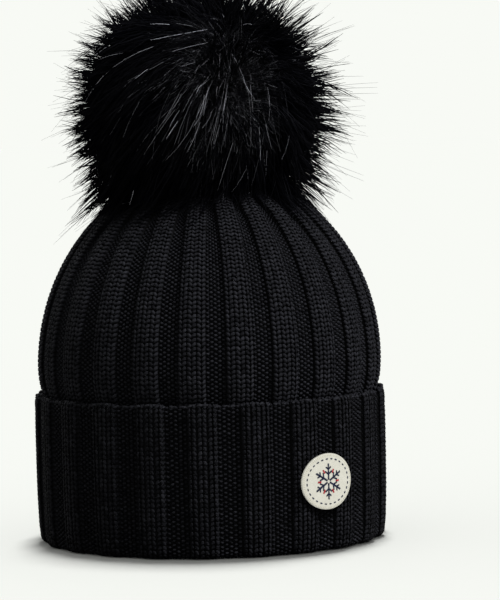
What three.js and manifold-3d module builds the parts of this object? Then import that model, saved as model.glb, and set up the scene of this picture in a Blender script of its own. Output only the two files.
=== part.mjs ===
// A rib-knit winter cap with a turned-up cuff and a fur pompom.
// Millimetres, +Z up, the front faces -Y, the floor is z = 0 under the cuff's bottom fold.

import * as THREE from 'three';
import { mergeVertices } from 'three/addons/utils/BufferGeometryUtils.js';
import Module from 'manifold-3d';

const wasm = await Module();
wasm.setup();

// Driving dimensions of the knit
const RIB_COUNT = 24;
const KNIT_WALL = 2.8;
const GAP = 0.3;

const CUFF_RADIUS = 87.8;
const CUFF_HEIGHT = 74;
const CUFF_RIB_DEPTH = 2;
const FOLD_TOP = 6;

const CROWN_RADIUS = 85.6;
const CROWN_WAIST = 84.4;
const CROWN_RIB_DEPTH = 2.2;
const WAIST_HEIGHT = 77.5;
const TUCKED_RADIUS = 82.4;
const TUCKED_RIB_DEPTH = 1.1;
const DOME_BASE = 88.5;
const DOME_HEIGHT = 96;
const DOME_ANGLES = [0, 10, 20, 30, 40, 50, 60, 70, 79];
const DOME_INNER_ANGLES = [74, 52, 26, 0];
const GATHER_RADIUS = 1.9;
const SHOULDER_LEAN = 0.7;

// Ribs stand 15 degrees apart on the relaxed knit and spread a little towards the front.
const CROWN_RIBS = { centre: -4.8, share: 0.56, spread: 0.043 };
const CUFF_RIBS = { centre: -1.8, share: 0.545, spread: 0.13 };
const RIB_SLOPE = 1.1;

// Driving dimensions of the pompom, its tie and the patch
const POMPOM_CENTRE = new THREE.Vector3(-1.5, -2, 214.5);
const POMPOM_CORE_RADIUS = 56.5;
const LOCK_COUNT = 112;
const LOCK_ROOT_DEPTH = 9;
const LOCK_WIDTH = 9;
const LOCK_REACH = { shortest: 62, longest: 70 };
const SKIRT_LOCKS = 21;
const LOWEST_LOCK = -0.48;
const APRON_RADIUS = 52;
const APRON_HEIGHT = 168.8;
const LOCK_SWEEP = 0.42;
const FUR_WHORL = new THREE.Vector3(28.5, -44.5, 25).normalize();

const TIE_RADIUS = 1.5;
const TIE_TOP = 203;
const TIE_DISC = { radius: 8, thickness: 1.6, top: 179.3 };

const PATCH_WIDTH = 31;
const PATCH_DEPTH = 27;
const PATCH_THICKNESS = 1.6;
const PATCH_EDGE = 0.5;
const PATCH_AZIMUTH = 39.2;
const PATCH_HEIGHT = 34.4;

const rad = THREE.MathUtils.degToRad;

// A repeatable random number in 0..1.
function makeRandom(seed) {
  let state = seed;
  return () => {
    state = (state * 1664525 + 1013904223) % 4294967296;
    return state / 4294967296;
  };
}

// The angle round the cap, from the front towards +X, of a place on the evenly spaced knit.
function spreadAngle(even, spread) {
  const angle = rad(even);
  return angle + spread * Math.sin(angle);
}

function geometryFrom(positions, indices) {
  const geometry = new THREE.BufferGeometry();
  geometry.setAttribute('position', new THREE.Float32BufferAttribute(positions, 3));
  geometry.setIndex(indices);
  return geometry;
}

// Knit that goes round the cap. Each row of the closed wall section gives the radius and the height on
// a raised rib and in the recess beside it; share is the rib's part of the repeat and x moves the row.
function ribbedWall(rows, ribs) {
  const pitch = 360 / RIB_COUNT;
  const columns = RIB_COUNT * 4;
  const positions = [];
  const indices = [];
  for (const row of rows) {
    const half = (pitch * (row.share ?? ribs.share)) / 2;
    for (let rib = 0; rib < RIB_COUNT; rib += 1) {
      const centre = ribs.centre + rib * pitch;
      const places = [
        [centre - half - RIB_SLOPE / 2, row.recess],
        [centre - half + RIB_SLOPE / 2, row.raised],
        [centre + half - RIB_SLOPE / 2, row.raised],
        [centre + half + RIB_SLOPE / 2, row.recess],
      ];
      for (const [even, [radius, height]] of places) {
        const angle = spreadAngle(even, ribs.spread);
        positions.push((row.x ?? 0) + radius * Math.sin(angle), -radius * Math.cos(angle), height);
      }
    }
  }
  for (let row = 0; row < rows.length; row += 1) {
    const next = (row + 1) % rows.length;
    for (let column = 0; column < columns; column += 1) {
      const beside = (column + 1) % columns;
      const a = row * columns + column;
      const b = row * columns + beside;
      const c = next * columns + beside;
      const d = next * columns + column;
      indices.push(a, b, c, a, c, d);
    }
  }
  return geometryFrom(positions, indices);
}

// The cuff is the turned-up layer: a wall, a rounded rim, and the bottom fold with its short inner leg.
// Its raised ribs stand on the floor by a flat band. Columns: radius and height on a rib, then in a recess.
function cuffRows() {
  const outer = CUFF_RADIUS;
  const inner = CUFF_RADIUS - KNIT_WALL;
  const deep = CUFF_RIB_DEPTH;
  const top = CUFF_HEIGHT;
  const legOuter = TUCKED_RADIUS - TUCKED_RIB_DEPTH / 2;
  const legInner = legOuter - KNIT_WALL;
  const table = [
    [81.2, 0.0, 81.0, 0.9],
    [83.7, 0.0, 82.9, 0.9],
    [85.9, 1.9, 84.4, 2.4],
    [outer - 1.0, 6.5, outer - 2.5, 6.5],
    [outer - 0.4, 17.0, outer - 0.3 - deep, 17.0],
    [outer, 42.0, outer - deep, 42.0],
    [outer - 0.2, top - 2.2, outer - 0.2 - deep, top - 2.6],
    [outer - 1.1, top - 0.2, outer - 0.9 - deep, top - 0.8],
    [outer - 2.0, top - 0.3, outer - 1.9 - deep, top - 0.9],
    [inner, top - 2.4, inner - deep, top - 2.8],
    [inner - 0.8, 9.0, inner - deep, 9.0],
    [82.8, 3.6, 82.5, 3.6],
    [legOuter, FOLD_TOP, legOuter, FOLD_TOP],
    [legInner, FOLD_TOP, legInner, FOLD_TOP],
    [79.6, 1.6, 79.6, 2.0],
  ];
  return table.map(([radius, height, deepRadius, deepHeight]) => ({
    raised: [radius, height],
    recess: [deepRadius, deepHeight],
  }));
}

// Height on the dome at an angle of the ellipse, with its radii drawn in by an inset.
function domePoint(angle, inset) {
  return [(CROWN_RADIUS - inset) * Math.cos(angle), DOME_BASE + (DOME_HEIGHT - inset) * Math.sin(angle)];
}

// The grooves between the ribs get deeper up the dome, where the knit is drawn together, and run out in
// the bunched knit round the hole.
function grooveDepth(radius) {
  const drawnIn = THREE.MathUtils.smoothstep(CROWN_RADIUS - radius, 8, 40);
  const runOut = 0.4 + radius * 0.06;
  return Math.min(CROWN_RIB_DEPTH * (1 + 0.25 * drawnIn), runOut);
}

// The raised ribs take more of the repeat towards the top.
function ribShare(radius) {
  return CROWN_RIBS.share + 0.2 * THREE.MathUtils.smoothstep(CROWN_RADIUS - radius, 8, 62);
}

// The crown is the knit tube: tucked inside the cuff, pinched out over the cuff's rim, then the dome with
// its ribs drawn together round a small hole at the top.
function crownRows() {
  const foot = FOLD_TOP + GAP;
  const footOuter = TUCKED_RADIUS - TUCKED_RIB_DEPTH / 2;
  const tuckedFoot = foot * 2;
  const tuckedTop = CUFF_HEIGHT - 0.8;
  const gatherAngle = THREE.MathUtils.radToDeg(Math.acos(GATHER_RADIUS / CROWN_RADIUS));
  const tubeRow = (radius, depth, height) => ({ raised: [radius, height], recess: [radius - depth, height] });
  const domeRow = (degrees, inset) => {
    const angle = rad(degrees);
    const [radius, height] = domePoint(angle, inset);
    const groove = grooveDepth(radius + inset);
    return {
      raised: [radius, height],
      recess: domePoint(angle, inset + groove),
      share: ribShare(radius + inset),
      x: SHOULDER_LEAN * Math.sin(2 * angle),
    };
  };
  const mouth = domeRow(gatherAngle, 0);
  const lowered = ([radius, height]) => [radius, height - KNIT_WALL];
  return [
    tubeRow(footOuter, 0, foot),
    tubeRow(TUCKED_RADIUS, TUCKED_RIB_DEPTH, tuckedFoot),
    tubeRow(TUCKED_RADIUS, TUCKED_RIB_DEPTH, tuckedTop),
    tubeRow(CROWN_WAIST, CROWN_RIB_DEPTH, WAIST_HEIGHT),
    ...DOME_ANGLES.map((degrees) => domeRow(degrees, 0)),
    mouth,
    { ...mouth, raised: lowered(mouth.raised), recess: lowered(mouth.recess) },
    ...DOME_INNER_ANGLES.map((degrees) => domeRow(degrees, KNIT_WALL)),
    tubeRow(CROWN_WAIST - KNIT_WALL, CROWN_RIB_DEPTH, WAIST_HEIGHT),
    tubeRow(TUCKED_RADIUS - KNIT_WALL, TUCKED_RIB_DEPTH, tuckedTop - 2 * KNIT_WALL),
    tubeRow(TUCKED_RADIUS - KNIT_WALL, TUCKED_RIB_DEPTH, tuckedFoot),
    tubeRow(footOuter - KNIT_WALL, 0, foot),
  ];
}

// Closed three.js geometry as a solid for joining and cutting.
function toSolid(geometry) {
  const bare = geometry.clone();
  bare.deleteAttribute('normal');
  bare.deleteAttribute('uv');
  const merged = mergeVertices(bare, 1e-4);
  return new wasm.Manifold(new wasm.Mesh({
    numProp: 3,
    vertProperties: new Float32Array(merged.attributes.position.array),
    triVerts: new Uint32Array(merged.index.array),
  }));
}

// The outermost shell of a solid. Small voids that crossing locks close off inside are left out, so they
// are filled with fur.
function outerShell(solid) {
  const mesh = solid.getMesh();
  const parent = Array.from({ length: mesh.vertProperties.length / 3 }, (_, vertex) => vertex);
  const rootOf = (vertex) => {
    let root = vertex;
    while (parent[root] !== root) root = parent[root];
    parent[vertex] = root;
    return root;
  };
  const shells = new Map();
  for (let i = 0; i < mesh.triVerts.length; i += 3) {
    const root = rootOf(mesh.triVerts[i]);
    parent[rootOf(mesh.triVerts[i + 1])] = root;
    parent[rootOf(mesh.triVerts[i + 2])] = root;
  }
  for (let i = 0; i < mesh.triVerts.length; i += 3) {
    const root = rootOf(mesh.triVerts[i]);
    if (!shells.has(root)) shells.set(root, []);
    shells.get(root).push(mesh.triVerts[i], mesh.triVerts[i + 1], mesh.triVerts[i + 2]);
  }
  const largest = [...shells.values()].sort((a, b) => b.length - a.length)[0];
  return geometryFrom(Array.from(mesh.vertProperties), largest);
}

// A lathe about +Z from (radius, height) points that start and end on the axis, listed upwards.
function turned(profile, segments) {
  const points = profile.map(([radius, height]) => new THREE.Vector2(radius, height));
  return new THREE.LatheGeometry(points, segments).rotateX(Math.PI / 2);
}

// One lock of fur: a three-sided taper that starts inside the core and bends over towards its tip.
function furLock(root, middle, tip, width) {
  const along = new THREE.Vector3().subVectors(tip, root).normalize();
  const side = new THREE.Vector3().crossVectors(along, new THREE.Vector3(0.3, 0.2, 1)).normalize();
  const across = new THREE.Vector3().crossVectors(along, side);
  const sides = 3;
  const positions = [];
  for (const [centre, size] of [[root, width], [middle, width * 0.75]]) {
    for (let i = 0; i < sides; i += 1) {
      const turn = (2 * Math.PI * i) / sides;
      const corner = centre.clone().addScaledVector(side, size * Math.cos(turn));
      corner.addScaledVector(across, size * Math.sin(turn));
      positions.push(corner.x, corner.y, corner.z);
    }
  }
  positions.push(tip.x, tip.y, tip.z);
  const indices = [0, 2, 1];
  for (let i = 0; i < sides; i += 1) {
    const j = (i + 1) % sides;
    indices.push(i, j, sides + j, i, sides + j, sides + i, sides + i, sides + j, 2 * sides);
  }
  return geometryFrom(positions, indices);
}

// The space that the dome takes, as a smooth solid a little proud of the ribs. Its facets lie over the
// dome's own, so the allowance only makes up for the flats between its segments.
function domeClearance() {
  const flatAllowance = 0.35;
  const profile = [[0, DOME_BASE]];
  for (const degrees of DOME_ANGLES) profile.push(domePoint(rad(degrees), -GAP - flatAllowance));
  profile.push([0, DOME_BASE + DOME_HEIGHT + GAP + flatAllowance]);
  return turned(profile, 32).translate(SHOULDER_LEAN / 2, 0, 0);
}

// The fur ball: locks all round, swept away from one whorl, on a core that is pressed down on the dome.
// Below, the fur is pushed out as an apron, with a skirt of locks over the dome. The skirt ends level, so
// that nothing of the pompom reaches down beside the hollow.
function pompomGeometry() {
  const random = makeRandom(7);
  const core = new THREE.IcosahedronGeometry(POMPOM_CORE_RADIUS, 2);
  core.translate(POMPOM_CENTRE.x, POMPOM_CENTRE.y, POMPOM_CENTRE.z);
  const apron = turned([
    [0, APRON_HEIGHT],
    [APRON_RADIUS - 3, APRON_HEIGHT],
    [APRON_RADIUS, APRON_HEIGHT + 6],
    [APRON_RADIUS - 2, APRON_HEIGHT + 22],
    [0, APRON_HEIGHT + 28],
  ], 20).translate(POMPOM_CENTRE.x, POMPOM_CENTRE.y, 0);
  let body = toSolid(core).add(toSolid(apron));
  const goldenAngle = Math.PI * (3 - Math.sqrt(5));
  for (let i = 0; i < LOCK_COUNT; i += 1) {
    const height = 1 - (2 * (i + 0.5)) / LOCK_COUNT;
    if (height < LOWEST_LOCK) continue;
    const flat = Math.sqrt(1 - height * height);
    const turn = i * goldenAngle;
    const outward = new THREE.Vector3(flat * Math.cos(turn), flat * Math.sin(turn), height);
    const sweep = outward.clone().multiplyScalar(outward.dot(FUR_WHORL)).sub(FUR_WHORL).normalize();
    const spread = LOCK_REACH.longest - LOCK_REACH.shortest;
    const reach = LOCK_REACH.shortest + spread * random();
    const lean = LOCK_SWEEP * (0.6 + 0.8 * random());
    const middleWay = outward.clone().addScaledVector(sweep, lean * 0.35).normalize();
    const tipWay = outward.clone().addScaledVector(sweep, lean).normalize();
    const at = (way, distance) => way.clone().multiplyScalar(distance).add(POMPOM_CENTRE);
    const root = at(outward, POMPOM_CORE_RADIUS - LOCK_ROOT_DEPTH);
    const middle = at(middleWay, POMPOM_CORE_RADIUS + 2);
    const lock = furLock(root, middle, at(tipWay, reach), LOCK_WIDTH * (0.85 + 0.3 * random()));
    body = body.add(toSolid(lock));
  }
  for (let i = 0; i < SKIRT_LOCKS; i += 1) {
    const turn = (2 * Math.PI * (i + 0.5 * random())) / SKIRT_LOCKS;
    const place = (radius, height) => new THREE.Vector3(
      POMPOM_CENTRE.x + radius * Math.cos(turn),
      POMPOM_CENTRE.y + radius * Math.sin(turn),
      height,
    );
    const root = place(APRON_RADIUS - 12, APRON_HEIGHT + 19);
    const middle = place(APRON_RADIUS - 1, APRON_HEIGHT + 9);
    const tip = place(APRON_RADIUS + 4 + 4 * random(), APRON_HEIGHT + 2 * random());
    body = body.add(toSolid(furLock(root, middle, tip, LOCK_WIDTH)));
  }
  const postRoom = turned([
    [0, TIE_DISC.top - 20],
    [TIE_RADIUS + GAP, TIE_DISC.top - 20],
    [TIE_RADIUS + GAP, TIE_TOP + GAP],
    [0, TIE_TOP + GAP],
  ], 12);
  return outerShell(body.subtract(toSolid(domeClearance())).subtract(toSolid(postRoom)));
}

// The hidden tie: a post through the gathered top, ending in a flat disc inside the cap.
function tieGeometry() {
  const { radius, thickness, top } = TIE_DISC;
  return turned([
    [0, top - thickness],
    [radius, top - thickness],
    [radius, top],
    [TIE_RADIUS, top],
    [TIE_RADIUS, TIE_TOP],
    [0, TIE_TOP],
  ], 16);
}

// An oval felt disc bent round the cuff, just clear of its ribs. Each ring of it has its distance in from
// the edge and its radius from the cap's axis.
function patchGeometry() {
  const segments = 24;
  const back = CUFF_RADIUS + GAP;
  const front = back + PATCH_THICKNESS;
  const half = PATCH_DEPTH / 2;
  const sections = [
    [half / 2, back],
    [PATCH_EDGE, back],
    [0, back + PATCH_EDGE],
    [0, front - PATCH_EDGE],
    [PATCH_EDGE, front],
    [half / 2, front],
  ];
  const positions = [];
  const place = (across, up, radius) => {
    const angle = rad(PATCH_AZIMUTH) + across / front;
    positions.push(radius * Math.sin(angle), -radius * Math.cos(angle), PATCH_HEIGHT + up);
  };
  for (const [inset, radius] of sections) {
    for (let i = 0; i < segments; i += 1) {
      const turn = (2 * Math.PI * i) / segments;
      place((PATCH_WIDTH / 2 - inset) * Math.cos(turn), (half - inset) * Math.sin(turn), radius);
    }
  }
  place(0, 0, back);
  place(0, 0, front);
  const backPole = sections.length * segments;
  const frontPole = backPole + 1;
  const lastRing = (sections.length - 1) * segments;
  const indices = [];
  for (let i = 0; i < segments; i += 1) {
    const j = (i + 1) % segments;
    indices.push(backPole, j, i, frontPole, lastRing + i, lastRing + j);
    for (let ring = 0; ring < sections.length - 1; ring += 1) {
      const low = ring * segments;
      const high = low + segments;
      indices.push(low + i, low + j, high + j, low + i, high + j, high + i);
    }
  }
  return geometryFrom(positions, indices);
}

const materials = {
  wool: new THREE.MeshStandardMaterial({ color: 0x17171a, roughness: 0.95, metalness: 0 }),
  fur: new THREE.MeshStandardMaterial({ color: 0x0c0d10, roughness: 0.6, metalness: 0 }),
  nylon: new THREE.MeshStandardMaterial({ color: 0x202022, roughness: 0.5, metalness: 0 }),
  felt: new THREE.MeshStandardMaterial({ color: 0xe9e0cd, roughness: 0.95, metalness: 0 }),
};

function piece(name, geometry, material) {
  const mesh = new THREE.Mesh(geometry, material);
  mesh.name = name;
  return mesh;
}

const cap = new THREE.Group();
cap.add(piece('crown', ribbedWall(crownRows(), CROWN_RIBS), materials.wool));
cap.add(piece('cuff', ribbedWall(cuffRows(), CUFF_RIBS), materials.wool));
cap.add(piece('pompom', pompomGeometry(), materials.fur));
cap.add(piece('pompom_tie', tieGeometry(), materials.nylon));
cap.add(piece('patch', patchGeometry(), materials.felt));

export default cap;
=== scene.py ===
# A black rib-knit winter cap with a turned-up cuff, a fur pompom on its gathered top and a small oval felt
# patch. It stands by itself on a pale floor. Metres, +Z up, the front faces -Y.

import math

import bmesh
import bpy
import numpy as np
from mathutils import Matrix


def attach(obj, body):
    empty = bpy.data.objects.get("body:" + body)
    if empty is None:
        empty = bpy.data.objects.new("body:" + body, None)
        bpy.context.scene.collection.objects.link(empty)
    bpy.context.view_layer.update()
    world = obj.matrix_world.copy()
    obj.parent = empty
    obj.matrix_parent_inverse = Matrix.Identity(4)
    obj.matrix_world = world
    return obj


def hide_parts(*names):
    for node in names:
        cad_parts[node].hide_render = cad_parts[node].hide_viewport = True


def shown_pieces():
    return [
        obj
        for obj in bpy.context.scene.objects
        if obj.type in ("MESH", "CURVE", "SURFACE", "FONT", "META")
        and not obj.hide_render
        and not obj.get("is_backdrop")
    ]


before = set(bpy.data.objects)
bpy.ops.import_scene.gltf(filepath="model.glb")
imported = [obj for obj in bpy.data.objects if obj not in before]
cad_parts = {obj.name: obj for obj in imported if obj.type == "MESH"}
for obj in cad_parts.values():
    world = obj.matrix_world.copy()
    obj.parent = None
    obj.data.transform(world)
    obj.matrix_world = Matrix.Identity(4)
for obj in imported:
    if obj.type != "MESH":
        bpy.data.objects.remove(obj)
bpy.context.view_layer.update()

# The camera stands 1.5 m in front of the cap and a little above its middle, with a long lens.
# It looks slightly down, and its small roll leans the cap to the left.
scene = bpy.context.scene
camera = bpy.data.objects.new("camera", bpy.data.cameras.new("camera"))
scene.collection.objects.link(camera)
scene.camera = camera
camera.data.lens = 180
camera.data.sensor_width = 36
camera.location = (0.021, -1.5, 0.201)
look_down = math.radians(90 - 3.15)
roll = math.radians(-1.3)
camera.rotation_euler = (Matrix.Rotation(look_down, 3, "X") @ Matrix.Rotation(roll, 3, "Z")).to_euler()


# The studio is a white sweep: a wide paper floor, light from all round, and a lamp for the floor alone. It
# gives the floor the background's white and the cap its shadow. The cap's own lamps come last in the file.
def linear(hex_colour):
    """An sRGB hex colour as linear red, green, blue and full alpha."""
    channels = [int(hex_colour[i:i + 2], 16) / 255 for i in (1, 3, 5)]
    decoded = [c / 12.92 if c <= 0.04045 else ((c + 0.055) / 1.055) ** 2.4 for c in channels]
    return (*decoded, 1.0)


def add_node(tree, kind, settings={}, links={}):
    """Adds a node to a tree, with its properties, its own socket values and what feeds its sockets."""
    node = tree.nodes.new(kind)
    for key, value in settings.items():
        if isinstance(key, int) or key in node.inputs:
            node.inputs[key].default_value = value
        else:
            setattr(node, key, value)
    for key, source in links.items():
        tree.links.new(source, node.inputs[key])
    return node


def new_material(name):
    """An empty node material and its tree."""
    material = bpy.data.materials.new(name)
    material.use_nodes = True
    material.node_tree.nodes.clear()
    return material, material.node_tree


def new_piece(mesh, material):
    """An object at the origin, named as its mesh, with one material."""
    mesh.materials.append(material)
    piece = bpy.data.objects.new(mesh.name, mesh)
    scene.collection.objects.link(piece)
    return piece


def circle(columns):
    """Places evenly round a circle of radius 1."""
    turns = 2 * np.pi * np.arange(columns) / columns
    return np.stack([np.cos(turns), np.sin(turns)], axis=-1)


BACKDROP = linear("#f8faf5")
scene.view_settings.view_transform = "Standard"
scene.view_settings.look = "None"
scene.world = bpy.data.worlds.new("white studio")
scene.world.use_nodes = True
scene.world.node_tree.nodes.clear()
sky = add_node(scene.world.node_tree, "ShaderNodeBackground", {"Color": BACKDROP, "Strength": 1.0})
add_node(scene.world.node_tree, "ShaderNodeOutputWorld", links={"Surface": sky.outputs[0]})

# Matt paper. Most of its white comes from its own lamp, so the shadow is dark where the cap touches it.
PAPER_ALBEDO = 0.28
paper, tree = new_material("matt white paper")
paper_shader = add_node(tree, "ShaderNodeBsdfDiffuse", {"Color": (*[PAPER_ALBEDO] * 3, 1)})
add_node(tree, "ShaderNodeOutputMaterial", links={"Surface": paper_shader.outputs[0]})

FLOOR_RADIUS = 60.0
FLOOR_SIDES = 96
floor_ring = np.column_stack([FLOOR_RADIUS * circle(FLOOR_SIDES), np.zeros(FLOOR_SIDES)])
floor_mesh = bpy.data.meshes.new("floor")
floor_mesh.from_pydata(floor_ring, [], [range(FLOOR_SIDES)])
floor = new_piece(floor_mesh, paper)
floor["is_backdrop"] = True


def soft_lamp(name, energy, spread, colour, turned, tipped):
    """A wide, distant lamp, tipped from straight above and turned from the front to the right, in degrees."""
    lamp = bpy.data.objects.new(name, bpy.data.lights.new(name, "SUN"))
    lamp.data.energy = energy
    lamp.data.angle = math.radians(spread)
    lamp.data.color = colour[:3]
    turn, tip = Matrix.Rotation(math.radians(turned), 3, "Z"), Matrix.Rotation(math.radians(tipped), 3, "X")
    lamp.rotation_euler = (turn @ tip).to_euler()
    scene.collection.objects.link(lamp)
    return lamp


def lights_only(lamp, objects):
    """Keeps a lamp's light to some objects."""
    group = bpy.data.collections.new("lit by " + lamp.name)
    for lit in objects:
        group.objects.link(lit)
    lamp.light_linking.receiver_collection = group


FLOOR_LAMP_TIP = 11
floor_light = math.pi * (1 / PAPER_ALBEDO - 1) / math.cos(math.radians(FLOOR_LAMP_TIP))
floor_lamp = soft_lamp(
    "lamp over the floor", floor_light, spread=12, colour=BACKDROP, turned=166, tipped=FLOOR_LAMP_TIP)
lights_only(floor_lamp, [floor])


# The crown is a tube of 3x2 rib, knitted in one piece from black merino yarn. Its lower part is tucked inside
# the cuff, and its top is drawn together round the tie under the pompom. Its sizes are in mm and degrees.
MM = 0.001
RIB_COUNT = 24
RIB_PITCH = 360 / RIB_COUNT
KNIT_WALL = 2.8
ROW_PITCH = 2.25
KNIT_WALES = 3
PURL_WALES = 2
PURL_COLUMNS = 2 * PURL_WALES + 1
RIB_EDGE = 0.6
STITCH_DEPTH = 0.95
CROWN_RADIUS = 85.6
CROWN_SHARE = 0.56
DOME_BASE = 88.5
DOME_HEIGHT = 96.0
DOME_DEGREES = range(0, 86, 5)
DOME_LEAN = 0.7
GROOVE_DEPTH = 2.2

# A rib stands out in its middle, and its shoulders lie lower by this many times as much.
RIB_CROWNING = 0.5
RIB_SHOULDER = 1.6

# The knit bulges unevenly by fractions of a mm, in waves of three lengths round the cap.
UNEVENNESS = 0.35
WAVES_ROUND = (3, 7, 13)
WAVE_STARTS = (0.6, 2.1, 4.0)
WAVE_SHARES = (0.5, 0.4, 0.3)

# centre is where the ribs are counted from, spread how much wider they are in front than behind, tone how
# pale the yarn is painted, lower on the cuff as painted shade, tilt how far a stitch's legs lean from its
# wale, and relief how thick the legs are.
CROWN_RIBS = {"centre": -4.8, "spread": 0.043, "tone": 0.5, "tilt": 41, "relief": 1.0}


def smooth_path(rows, step=0.5):
    """A table's rows joined by a smooth line and sampled evenly. Its first two columns are radius and height
    on a rib. The result has the length along the line in front of the table's own columns."""
    rows = np.asarray(rows, float)
    gap = np.hypot(*np.diff(rows[:, :2], axis=0).T)
    place = np.r_[0, np.cumsum(gap)]
    rise = np.diff(rows, axis=0) / gap[:, None]
    between = rise[:-1] * gap[1:, None] + rise[1:] * gap[:-1, None]
    slope = np.vstack([rise[:1], between / (gap[:-1] + gap[1:])[:, None], rise[-1:]])
    along = np.linspace(0, place[-1], int(place[-1] / step) + 1)
    span = np.clip(np.searchsorted(place, along, side="right") - 1, 0, len(gap) - 1)
    size = gap[span][:, None]
    t = (along - place[span])[:, None] / size
    line = (1 + 2 * t) * (1 - t) ** 2 * rows[span] + t * (1 - t) ** 2 * size * slope[span]
    line += t * t * (3 - 2 * t) * rows[span + 1] + t * t * (t - 1) * size * slope[span + 1]
    return np.column_stack([along, line])


def smoothstep(x, low, high):
    """0 below low and 1 above high, with an eased rise between them."""
    t = np.clip((x - low) / (high - low), 0, 1)
    return t * t * (3 - 2 * t)


def knit_point(path, ribs, even, along, lift):
    """Places on the ribbed knit, in mm. even is an angle, in degrees in which all ribs are as wide, along the
    length along the path, and lift the height over it."""
    rib_r, rib_z, dip_r, dip_z, share, lean = (np.interp(along, path[:, 0], c) for c in path[:, 1:7].T)
    off = (even - ribs["centre"] + RIB_PITCH / 2) % RIB_PITCH - RIB_PITCH / 2
    half = share * RIB_PITCH / 2
    raised = smoothstep(-np.abs(off), -half - RIB_EDGE, -half + RIB_EDGE)
    crowning = RIB_CROWNING * (1 - np.minimum(1, (off / half) ** 2) * RIB_SHOULDER)
    tangent = np.gradient(path[:, 1:3], path[:, 0], axis=0)
    tangent_r, tangent_z = (np.interp(along, path[:, 0], c) for c in tangent.T)
    size = np.hypot(tangent_r, tangent_z)
    height = lift + crowning * raised
    wave = np.sin(np.outer(np.radians(even).ravel(), WAVES_ROUND) + WAVE_STARTS) @ WAVE_SHARES
    r = dip_r + (rib_r - dip_r) * raised + height * tangent_z / size
    r += UNEVENNESS * wave.reshape(np.shape(even)) * np.minimum(1, r / CROWN_RADIUS)
    z = dip_z + (rib_z - dip_z) * raised - height * tangent_r / size
    angle = np.radians(even) + ribs["spread"] * np.sin(np.radians(even))
    x = lean + r * np.sin(angle)
    return np.stack([x, -r * np.cos(angle), z], axis=-1)


def unit(vectors):
    """Vectors made one long."""
    return vectors / np.linalg.norm(vectors, axis=-1, keepdims=True)


def knit_axes(path, ribs, even, along, lift):
    """Directions across the knit, up its wales and out of it, at places as in knit_point."""
    turn, rise = 0.3, 0.4
    across = knit_point(path, ribs, even + turn, along, lift)
    across = across - knit_point(path, ribs, even - turn, along, lift)
    up = knit_point(path, ribs, even, along + rise, lift) - knit_point(path, ribs, even, along - rise, lift)
    out = unit(np.cross(across, up))
    across = unit(across)
    return across, np.cross(out, across), out


def grid_mesh(name, points, knit_uv):
    """A closed tube of quads from rows of points in mm, with the last row joined to the first. knit_uv counts
    wales and rows at each point."""
    rows, columns = points.shape[:2]
    row, column = (g.ravel() for g in np.meshgrid(range(rows), range(columns), indexing="ij"))
    next_row, next_column = (row + 1) % rows, (column + 1) % columns
    corners = np.stack([
        row * columns + column,
        row * columns + next_column,
        next_row * columns + next_column,
        next_row * columns + column,
    ], axis=1)
    mesh = bpy.data.meshes.new(name)
    mesh.from_pydata(points.reshape(-1, 3) * MM, [], corners.tolist())
    mesh.shade_smooth()
    uv = knit_uv.reshape(-1, 2)[corners.ravel()]
    wales = RIB_COUNT * (KNIT_WALES + PURL_WALES)
    on_next_column = np.tile([False, True, True, False], len(corners))
    uv[:, 0] += np.where(on_next_column & (np.repeat(next_column, 4) == 0), wales, 0)
    mesh.attributes.new("knit_uv", "FLOAT2", "CORNER").data.foreach_set("vector", uv.ravel())
    return mesh


def ringed_mesh(name, first_pole, rings, last_pole):
    """A closed mesh from one pole over rings of points, in mm, to the other pole."""
    rows, columns = rings.shape[:2]
    faces = []
    for column in range(columns):
        beside = (column + 1) % columns
        last = (rows - 1) * columns
        faces.append((beside, column, rows * columns))
        faces.append((last + column, last + beside, rows * columns + 1))
        for row in range(rows - 1):
            low, high = row * columns, (row + 1) * columns
            faces.append((low + column, low + beside, high + beside, high + column))
    points = np.concatenate([rings.reshape(-1, 3), [first_pole, last_pole]]) * MM
    mesh = bpy.data.meshes.new(name)
    mesh.from_pydata(points, [], faces)
    shape = bmesh.new()
    shape.from_mesh(mesh)
    bmesh.ops.recalc_face_normals(shape, faces=shape.faces)
    shape.to_mesh(mesh)
    shape.free()
    mesh.shade_smooth()
    return mesh


def turned_rings(profile, columns):
    """Rings about the cap's axis, from a profile of radii and heights in mm."""
    return np.array([
        np.column_stack([radius * circle(columns), np.full(columns, height)]) for radius, height in profile
    ])


def raised_share(path, along):
    """The share of the ribs' repeat that is raised, at lengths along the path."""
    return np.interp(along, path[:, 0], path[:, 5])


def rib_columns(ribs, share):
    """Even angles of the columns of a ribbed wall, at one share of raised rib: ten to each rib."""
    half = share * RIB_PITCH / 2
    dip = RIB_PITCH / 2
    offsets = [-half, RIB_EDGE - half, -half / 2, 0, half / 2, half - RIB_EDGE, half, half + RIB_EDGE, dip]
    offsets.append(2 * dip - half - RIB_EDGE)
    return np.concatenate([ribs["centre"] + rib * RIB_PITCH + np.array(offsets) for rib in range(RIB_COUNT)])


def ribbed_wall(path, ribs, stations):
    """Points and knit_uv of a ribbed wall. Each station is a length along the path and a height over it."""
    points, knit_uv = [], []
    for along, lift in stations:
        even = rib_columns(ribs, raised_share(path, along))
        place = np.full_like(even, along)
        points.append(knit_point(path, ribs, even, place, lift))
        wale = even / RIB_PITCH * (KNIT_WALES + PURL_WALES)
        knit_uv.append(np.stack([wale, place / ROW_PITCH], axis=-1))
    return np.array(points), np.array(knit_uv)


def groove_depth(radius):
    """How deep the grooves between the ribs are: deeper up the dome, and running out at the gathered hole."""
    drawn_in = smoothstep(CROWN_RADIUS - radius, low=8, high=40)
    running_out = 0.4 + 0.06 * radius
    return np.minimum(GROOVE_DEPTH * (1 + 0.45 * drawn_in), running_out)


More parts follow.
